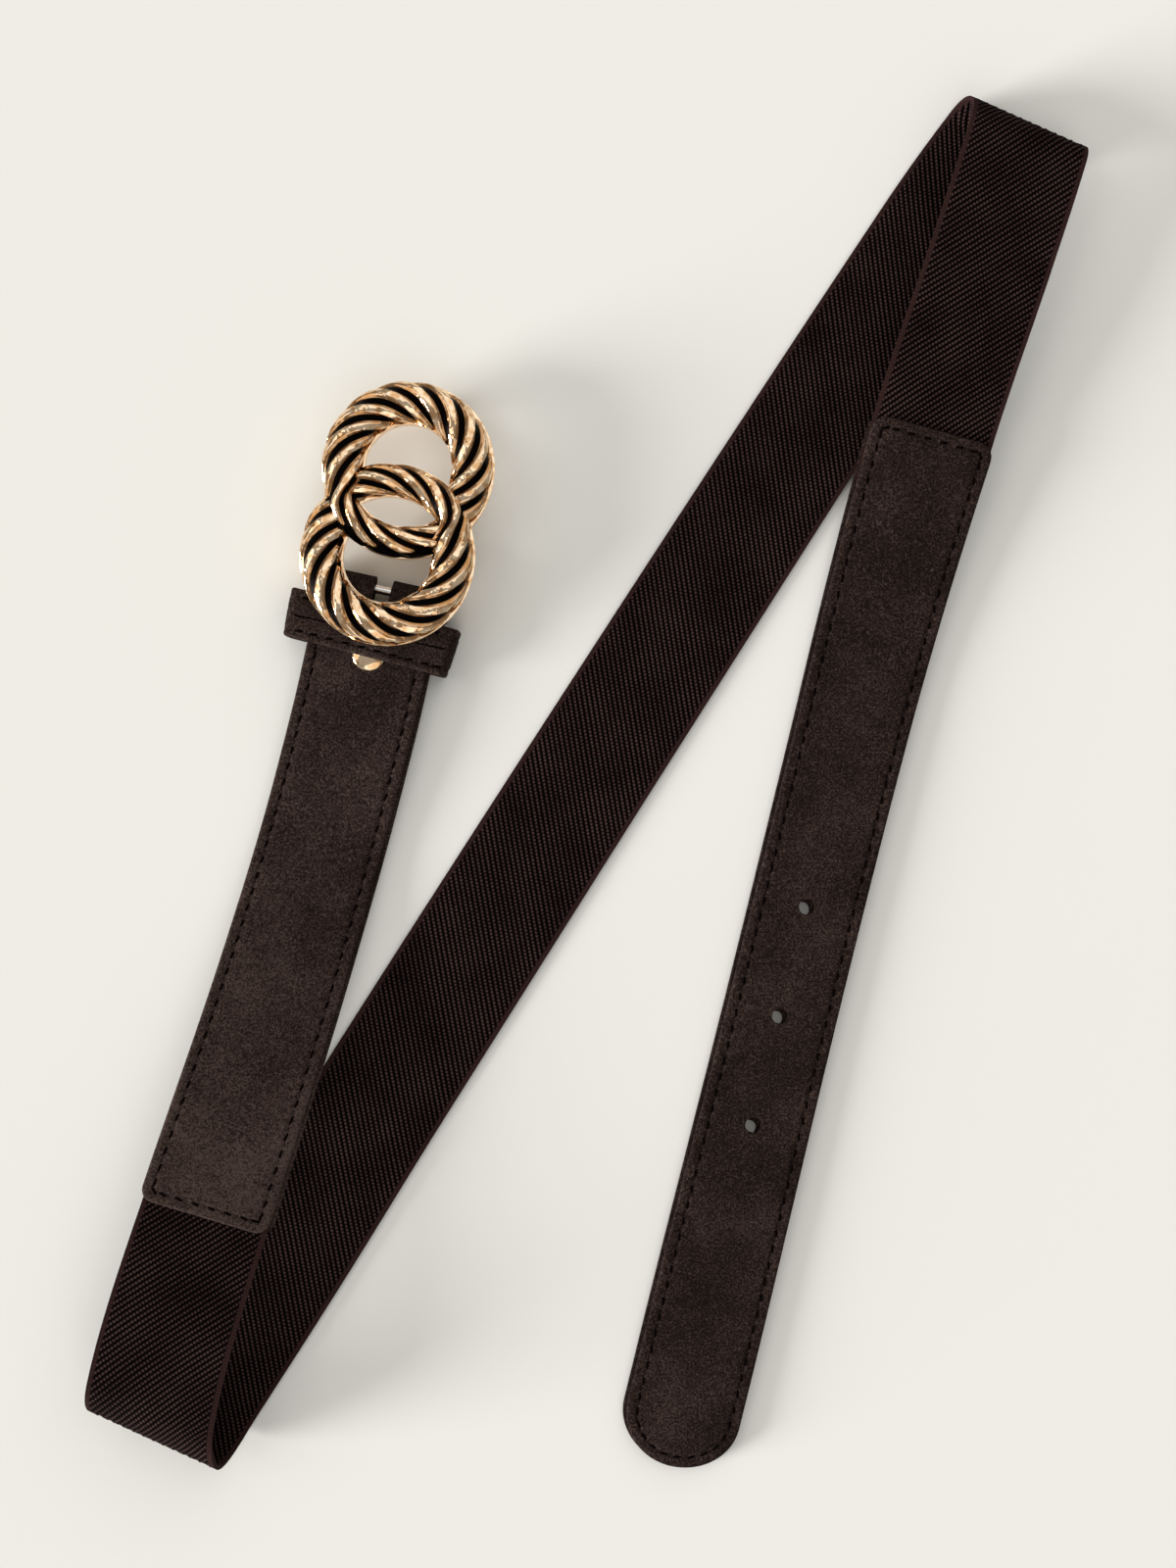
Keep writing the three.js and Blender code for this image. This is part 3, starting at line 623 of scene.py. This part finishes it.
# Tip tab. Two leaves of the same suede leather, stitched together round their edges with the
# elastic's other end between them, cut to a rounded tip and punched with three holes. The
# upper leaf is a little narrower on the left.
tip_reach = 0.014
tip_corner = 0.0042
tip_tab_widths = [(0, 1), (0.18, 0.94), (0.32, 0.905), (0.55, 0.895), (0.85, 0.93), (1, 0.93)]
hole_radius = 0.0021
hole_slip = 0.0009  # of the hole in the lower leaf, as the punch went in at a slant
hole_places = [belt_length - 0.0937 - 0.03 * k for k in range(3)]


def tip_side(b, narrow=0):
    wide = strap_width * read(tip_tab_widths, (b - elastic_end) / tip_tab_length) / 2 - narrow
    round_share = np.clip((b - belt_length + tip_reach) / tip_reach, 0, 1)
    return wide * np.sqrt(1 - round_share ** 2) - corner_loss(tip_corner, b - elastic_end)


starts = elastic_end + corner_shares * tip_corner
straight = np.linspace(elastic_end + tip_corner, belt_length - tip_reach, 80)
rounded = belt_length - tip_reach + tip_reach * np.sin(np.linspace(0, math.pi / 2, 40)[1:])
stations = np.concatenate([starts, straight, rounded])
for name, side in (("upper", 1), ("lower", -1)):
    narrow = upper_inset if side > 0 else 0
    left = np.column_stack([stations, -tip_side(stations, narrow)])
    right = np.column_stack([stations, tip_side(stations)])[::-1][1:]
    outline = spread_points(np.vstack([left, right]))
    leaf = cut_leaf(f"tip_tab_{name}_leather", outline, leaf_thick, stitch_inset, 34)
    for hole in hole_places:
        bpy.ops.object.select_all(action="DESELECT")
        slip = 0 if side > 0 else hole_slip
        bpy.ops.mesh.primitive_cylinder_add(vertices=40, radius=hole_radius, depth=0.01,
                                            location=(hole + 1.3 * slip, -slip, 0))
        cut_out(leaf, bpy.context.object)
    thread = thread_stitches(f"tip_tab_{name}_stitches", outline, stitch_inset,
                             leaf_thick - (0.0002 if side > 0 else 0.0004))
    for piece in (leaf, thread):
        points = points_of(piece)
        if piece is leaf:
            keep_flat_map(piece, points)
            points = make_room(points, elastic_end)
        points[:, 2] = side * (points[:, 2] + 0.00003)
        move_points(piece, lay_down(points))
        if side < 0:
            piece.data.flip_normals()
        only(piece)
        bpy.ops.object.shade_smooth_by_angle(angle=math.radians(50))
    wear(leaf, suede, "belt", "suede", "tip_tab")
    wear(thread, waxed, "belt", "suede")


# Keeper loop. A band of the same suede leather wrapped round the tab next to the crossbar and
# closed underneath, pressed square at both sides and stitched along its two edges.
keeper_from = 0.0053
keeper_width = 0.013
keeper_outside = 0.045
keeper_wall = 0.0015
keeper_top = 0.0094
keeper_corner = 0.0016
keeper_aside = -0.0007
keeper_askew = math.radians(-2.6)
keeper_flare = 0.02
keeper_stitch_inset = 0.0021


def belt_frame(b, level):
    """Frame on the strap: x across it, y towards the buckle, z out of its face."""
    near, far = lay_down([[b - 0.0005, 0, 0], [b + 0.0005, 0, 0]])
    ahead = Vector(near - far)
    if level:
        ahead.z = 0
    ahead.normalize()
    side = Vector((ahead.y, -ahead.x, 0)).normalized()
    axes = Matrix((side, ahead, side.cross(ahead))).transposed().to_4x4()
    return Matrix.Translation(lay_down([[b, 0, 0]])[0]) @ axes


def wrap_keeper(points):
    """Wraps a strip drawn flat round a squared loop: its middle is the middle of the top."""
    s, t, h = points.T
    r = keeper_corner
    flat_half, flat_side = keeper_outside / 2 - r, keeper_top - 2 * r
    bend = r * math.pi / 2
    far = np.abs(s)
    first = np.clip(far - flat_half, 0, bend) / r
    fall = np.clip(far - flat_half - bend, 0, flat_side)
    second = np.clip(far - flat_half - bend - flat_side, 0, bend) / r
    home = np.maximum(far - flat_half - 2 * bend - flat_side, 0)
    turn = first + second
    path_x = np.minimum(far, flat_half) + r * np.sin(first) - r * (1 - np.cos(second)) - home
    path_z = keeper_top - r * (1 - np.cos(first)) - fall - r * np.sin(second)
    sunk = keeper_wall - h
    x = (path_x - np.sin(turn) * sunk) * (1 + keeper_flare * t / across_half)
    return np.column_stack([np.sign(s) * x, t, path_z - np.cos(turn) * sunk])


keeper_half = keeper_outside + keeper_top + (math.pi - 4) * keeper_corner
across_half = keeper_width / 2
corners = np.array([(-1, -1), (1, -1), (1, 1), (-1, 1)]) * (keeper_half - 0.00005, across_half)
keeper_line = []
for corner, following in zip(corners, np.roll(corners, -1, 0)):
    keeper_line += [corner + (following - corner) * u for u in np.linspace(0, 1, 300)[:-1]]
bends = [keeper_outside / 2 - keeper_corner / 2, keeper_outside / 2 + keeper_top - keeper_corner]
keeper_outline = spread_points(np.array(keeper_line), lambda s: 1 + 2.0 * sum(
    np.abs(np.abs(s) - bend) < 0.002 for bend in bends))
keeper = cut_leaf("keeper_leather", keeper_outline, keeper_wall, keeper_stitch_inset, 12)
thread = thread_stitches("keeper_stitches", keeper_outline, keeper_stitch_inset,
                         keeper_wall - 0.0002,
                         lambda at: abs(at[0]) > keeper_half - 0.004
                         or min(abs(abs(at[0]) - bend) for bend in bends) < 0.002)
keeper_place = belt_frame(keeper_from + keeper_width / 2, True)
keeper_place.translation.z = 0
keeper_place = (keeper_place @ Matrix.Translation((keeper_aside, 0, 0))
                @ Matrix.Rotation(keeper_askew, 4, "Z"))
for piece in (keeper, thread):
    points = points_of(piece)
    if piece is keeper:
        keep_flat_map(piece, points)
    move_points(piece, wrap_keeper(points))
    piece.data.transform(keeper_place)
    points = points_of(piece)
    points[:, 2] = np.maximum(points[:, 2], 0)
    move_points(piece, points)
    only(piece)
    bpy.ops.object.shade_smooth_by_angle(angle=math.radians(50))
wear(keeper, suede, "belt", "suede", "keeper_loop")
wear(thread, waxed, "belt", "suede")


# Rivet. A domed brass-coloured rivet through both leaves of the buckle tab, just below the
# keeper, that closes the fold round the crossbar.
rivet_at = 0.0175
rivet_radius = 0.00435
rivet_rise = 0.001
rivet_back = 0.0008
rivet_back_radius = 0.0036
rivet_post = 0.0015

half = tab_thick / 2 + 0.00015
profile = [(0, -half - rivet_back), (rivet_back_radius - 0.0004, -half - rivet_back),
           (rivet_back_radius, -half - rivet_back / 2), (rivet_back_radius, -half),
           (rivet_post, -half), (rivet_post, half), (rivet_radius - 0.0002, half)]
profile += [(rivet_radius * math.cos(a), half + rivet_rise * math.sin(a))
            for a in np.linspace(0.12, math.pi / 2, 14)]
profile[-1] = (0, half + rivet_rise)


def turned(name, profile, steps):
    """Spins a profile of (radius, height) points round the z axis into a closed piece."""
    piece = new_piece(name, [(r, 0, z) for r, z in profile], [],
                      [(i, i + 1) for i in range(len(profile) - 1)])
    only(piece)
    bpy.ops.object.mode_set(mode="EDIT")
    bpy.ops.mesh.select_all(action="SELECT")
    bpy.ops.mesh.spin(steps=steps, angle=2 * math.pi, center=(0, 0, 0), axis=(0, 0, 1))
    bpy.ops.mesh.select_all(action="SELECT")
    bpy.ops.mesh.remove_doubles(threshold=0.00001)
    bpy.ops.mesh.normals_make_consistent(inside=False)
    bpy.ops.object.mode_set(mode="OBJECT")
    bpy.ops.object.shade_smooth_by_angle(angle=math.radians(40))
    return piece


rivet = turned("rivet_head", profile, 64)
rivet.data.transform(belt_frame(rivet_at, False))
gold = Finish("rose gold plate", Metallic=1, Roughness=0.16)
place = gold.node("ShaderNodeTexCoord", result=3)
hammered = gold.noise(place, 480, 1)
fine = gold.noise(place, 1500, 2)
depth = gold.node("ShaderNodeAttribute", {"attribute_name": "groove"}, result=2)
enamel = depth.between(0.8, 0.86)
# The strands' flanks towards the grooves are painted a deep brown: painted shade and dark
# reflection beside the enamel.
painted_flank_shade = depth.between(0.35, 0.82)
plate = gold.mix(hammered.between(0.3, 0.6), (0.72, 0.42, 0.2, 1), (1, 0.76, 0.51, 1))
plate = gold.mix(painted_flank_shade * 0.85, plate, (0.38, 0.17, 0.05, 1))
gold.feed("Base Color", gold.mix(enamel, plate, (0.0025, 0.0018, 0.0016, 1)))
gold.feed("Roughness", fine * 0.06 + 0.06 + enamel * 0.35)
gold.emboss(hammered * depth.between(0.01, 0.05), 0.00028)
wear(rivet, gold, "belt", "gold", "tab_rivet")


# Buckle. Two interlocked rope rings cast with their flat backs, two lugs and the peg as one
# piece, plated rose gold. Black enamel fills the grooves between the strands. An edge of the far
# ring where it lies inside the near one is painted black too: painted shade and dark reflection
# under the near ring.
ring_mean = 0.01685
ring_half = 0.00535
# How far the near ring and the far one are from round: across, along, and a shift along
ring_stretch = {1: (1.022, 1.055, -0.0005), -1: (1.01, 1.03, 0.0002)}
ring_rise = 0.0039
ring_back = 0.0027
strands = 5
stripes = 14
ring_first = 0.008
ring_apart = 0.0235
ring_weave = 0.0013
inner_width = 0.75
inner_reach = 0.0025
ornament_gap = 0.0074
valley_depth, valley_from, valley_ease = 0.16, 0.6, 0.22  # shares of a strand's section
crown_drop = 0.05
narrow_over, hump_over = 0.3, 0.55  # angles over which a ring narrows and rises
# Where and how softly the far ring's edge inside the near one turns black: painted shade.
painted_shade_edge_from, painted_shade_edge_ease = 0.7, 0.12
sections = 280
points_per_strand = 16
rope_flat = 0.0019
base_half = 0.0054
base_aside = 0.0004
base_thick = 0.002
lug_thick, lug_radius, lug_play, lug_spread = 0.0018, 0.0027, 0.0007, 0.0046
peg_radius, peg_length, peg_head, peg_head_height, peg_chamfer = (
    0.0017, 0.0082, 0.00205, 0.0016, 0.0005)
peg_place = ring_first + ring_apart + ring_stretch[-1][2] + ring_mean * ring_stretch[-1][1]
crossing = math.asin(ring_apart / 2 / ring_mean)


def apart_from(a, b):
    return np.abs(np.arctan2(np.sin(a - b), np.cos(a - b)))


def ring_shape(a, side):
    """Width share, outward shift and lift of a ring at an angle; side is 1 for the near ring."""
    inside = 1 - smooth((apart_from(a, side * math.pi / 2) - (math.pi / 2 - crossing))
                        / narrow_over)
    right, left = side * crossing, math.pi - side * crossing
    lift = smooth(apart_from(a, left) / hump_over) - smooth(apart_from(a, right) / hump_over)
    return 1 - (1 - inner_width) * inside, inner_reach * inside, ring_weave * side * lift


def loft(name, rows, shift=0):
    """Joins rows of points into a closed ring of squares; the last row meets the first."""
    count = len(rows[0])
    faces = []
    for i in range(len(rows)):
        last = i + 1 == len(rows)
        for j in range(count):
            k = (j + 1) % count
            near, far = i * count, 0 if last else (i + 1) * count
            move = shift if last else 0
            faces.append([near + j, near + k, far + (k + move) % count, far + (j + move) % count])
    return new_piece(name, [point for row in rows for point in row], faces)


def mark_groove(piece, depths):
    """Marks each point of a piece with how deep it lies in the groove between two strands, and
    the far ring's edge inside the near one as deep groove, so that painted shade goes there.
    """
    mark = piece.data.attributes.new("groove", "FLOAT", "POINT")
    mark.data.foreach_set("value", depths.astype(np.float32))


def rope_ring(name, side, centre_y):
    per_ring = strands * points_per_strand
    j = np.arange(per_ring)
    on_strand = (j % points_per_strand) / points_per_strand
    valley = np.abs(np.cos(math.pi * on_strand))
    groove = 1 - valley_depth * smooth((valley - valley_from) / valley_ease)
    crown = 1 - crown_drop * (1 - np.sin(math.pi * on_strand) ** 2)
    rows, depths = [], []
    for i in range(sections):
        a = i / sections * 2 * math.pi
        width, reach, lift = ring_shape(a, side)
        phase = -j / per_ring * 2 * math.pi - stripes / strands * a
        # The far ring's outer edge inside the near one is marked as deep groove and so painted
        # black: painted shade under the near ring.
        edge = smooth((np.cos(phase) - painted_shade_edge_from) / painted_shade_edge_ease)
        edge = edge if side < 0 and reach > 0 else 0
        depths.append(np.maximum(0.1 + 0.9 * valley, edge * smooth(reach / inner_reach * 1.6)))
        out = reach + ring_half * width * groove * crown * np.cos(phase)
        up = np.maximum(lift + ring_rise * groove * crown * np.sin(phase), -rope_flat)
        far = ring_mean + out
        wide, long, shift = ring_stretch[side]
        rows.append(np.column_stack([far * np.cos(a) * wide,
                                     centre_y + shift + far * np.sin(a) * long,
                                     up + ornament_gap + ring_back]))
    shift = round(stripes * per_ring / strands) % per_ring
    piece = loft(name, rows, shift)
    low = np.array([row[:, 2] for row in rows]) < ornament_gap + ring_back - rope_flat + 0.0002
    mark_groove(piece, np.concatenate(depths) * ~low.ravel())
    return piece


def flat_back(name, side, centre_y):
    rows = []
    for i in range(144):
        a = i / 144 * 2 * math.pi
        width, reach, _ = ring_shape(a, side)
        half = base_half * width
        wide, long, shift = ring_stretch[side]
        rows.append([(base_aside + (ring_mean + out) * math.cos(a) * wide,
                      centre_y + shift + (ring_mean + out) * math.sin(a) * long,
                      ornament_gap + up) for out, up in (
            (reach - half, base_thick), (reach + half, base_thick),
            (reach + half, 0), (reach - half, 0))])
    return loft(name, rows)


def lug_piece(name, from_x):
    top = ornament_gap + base_thick / 2
    outline = [(-lug_spread, top), (-lug_radius, 0.001)]
    outline += [(lug_radius * math.cos(a), lug_radius * math.sin(a))
                for a in np.linspace(math.pi, 2 * math.pi, 17)]
    outline += [(lug_radius, 0.001), (lug_spread, top)]
    piece = new_piece(name, [(from_x, y, z) for y, z in outline], [range(len(outline))])
    only(piece)
    bpy.ops.object.mode_set(mode="EDIT")
    bpy.ops.mesh.select_all(action="SELECT")
    bpy.ops.mesh.extrude_region_move(TRANSFORM_OT_translate={"value": (lug_thick, 0, 0)})
    bpy.ops.mesh.select_all(action="SELECT")
    bpy.ops.mesh.normals_make_consistent(inside=False)
    bpy.ops.mesh.bevel(offset=0.0003, segments=3, affect="EDGES")
    bpy.ops.object.mode_set(mode="OBJECT")
    return piece


near_ring = rope_ring("buckle_casting", 1, ring_first)
others = [rope_ring("far_ring", -1, ring_first + ring_apart),
          flat_back("near_back", 1, ring_first), flat_back("far_back", -1, ring_first + ring_apart)]
lug_from = strap_width / 2 + lug_play
others += [lug_piece("right_lug", lug_from), lug_piece("left_lug", -lug_from - lug_thick)]
peg = turned("peg", [
    (0, -peg_length), (peg_head - peg_chamfer, -peg_length),
    (peg_head, -peg_length + peg_head_height / 2), (peg_radius, -peg_length + peg_head_height),
    (peg_radius, base_thick / 2), (0, base_thick / 2)], 32)
peg.data.transform(Matrix.Translation((0, peg_place, ornament_gap)))
others.append(peg)
only(near_ring)
for piece in others:
    piece.select_set(True)
bpy.ops.object.join()
casting = near_ring
only(casting)
bpy.ops.object.mode_set(mode="EDIT")
bpy.ops.mesh.select_all(action="SELECT")
bpy.ops.mesh.normals_make_consistent(inside=False)
bpy.ops.object.mode_set(mode="OBJECT")

peg_edge_y = peg_place + peg_head - peg_chamfer
peg_edge_z = ornament_gap - peg_length
lean = (math.asin(bar_height / math.hypot(peg_edge_y, peg_edge_z))
        - math.atan2(-peg_edge_z, peg_edge_y))
buckle_place = belt_frame(0, True) @ Matrix.Rotation(-lean, 4, "X")
casting.data.transform(buckle_place)
bpy.ops.object.shade_smooth_by_angle(angle=math.radians(55))
wear(casting, gold, "buckle", "gold", "buckle_rings")


# Crossbar. A plain bright steel pin through the buckle's two lugs and the folded end of the
# tab; only its middle shows, in the slot.
bar_radius = 0.00125
bar_length = strap_width + 2 * (lug_play + lug_thick) + 0.0003
bpy.ops.object.select_all(action="DESELECT")
bpy.ops.mesh.primitive_cylinder_add(vertices=48, radius=bar_radius, depth=bar_length,
                                    rotation=(0, math.pi / 2, 0))
bar = bpy.context.object
bar.name = "crossbar_pin"
bpy.ops.object.transform_apply(location=False, rotation=True, scale=False)
bevel = bar.modifiers.new("edge", "BEVEL")
bevel.width, bevel.segments, bevel.limit_method = 0.0002, 3, "ANGLE"
bpy.ops.object.modifier_apply(modifier="edge")
bar.data.transform(buckle_place)
bpy.ops.object.shade_smooth_by_angle(angle=math.radians(40))
steel = Finish("bright steel", Metallic=1, Roughness=0.22, Base_Color=(0.8, 0.8, 0.79, 1))
place = steel.node("ShaderNodeTexCoord", result=3)
drawn = steel.noise(place, 900, 2)
steel.feed("Roughness", drawn * 0.2 + 0.12)
wear(bar, steel, "buckle", "steel", "crossbar")


# Studio. A plain pale table under an even sky, four soft sun lamps, the strongest low from the
# left, and a camera that looks straight down on the belt.
bpy.ops.mesh.primitive_plane_add(size=6)
table = bpy.context.object
table.name = "table"
pale = Finish("pale table", Base_Color=(0.80, 0.785, 0.73, 1), Roughness=0.95,
              Specular_IOR_Level=0.1)
table.data.materials.append(pale.material)

world = bpy.data.worlds.new("studio")
bpy.context.scene.world = world
world.use_nodes = True
sky = world.node_tree.nodes["Background"].inputs
sky["Color"].default_value = (1, 0.985, 0.965, 1)
sky["Strength"].default_value = 0.34
bpy.context.scene.view_settings.view_transform = "Standard"

for name, toward, spread, strength in (("key", (-1, -0.3, 0.2), 24, 5.7),
                                       ("top", (0.3, 0.8, 0.85), 70, 0.75),
                                       ("low", (0.15, -0.8, 1.0), 50, 0.52),
                                       ("left", (-0.8, 0.2, 0.85), 40, 0.45)):
    light = bpy.data.lights.new(name, "SUN")
    light.angle, light.energy = math.radians(spread), strength
    lamp = bpy.data.objects.new(name, light)
    lamp.rotation_euler = Vector(toward).to_track_quat("Z", "Y").to_euler()
    bpy.context.scene.collection.objects.link(lamp)

camera_data = bpy.data.cameras.new("overhead")
camera_data.sensor_fit = "VERTICAL"
camera_data.sensor_height = 36
camera_data.lens = 42.75
camera = bpy.data.objects.new("overhead", camera_data)
camera.location = (-0.00056, 0.00025, 0.5)
bpy.context.scene.collection.objects.link(camera)
bpy.context.scene.camera = camera
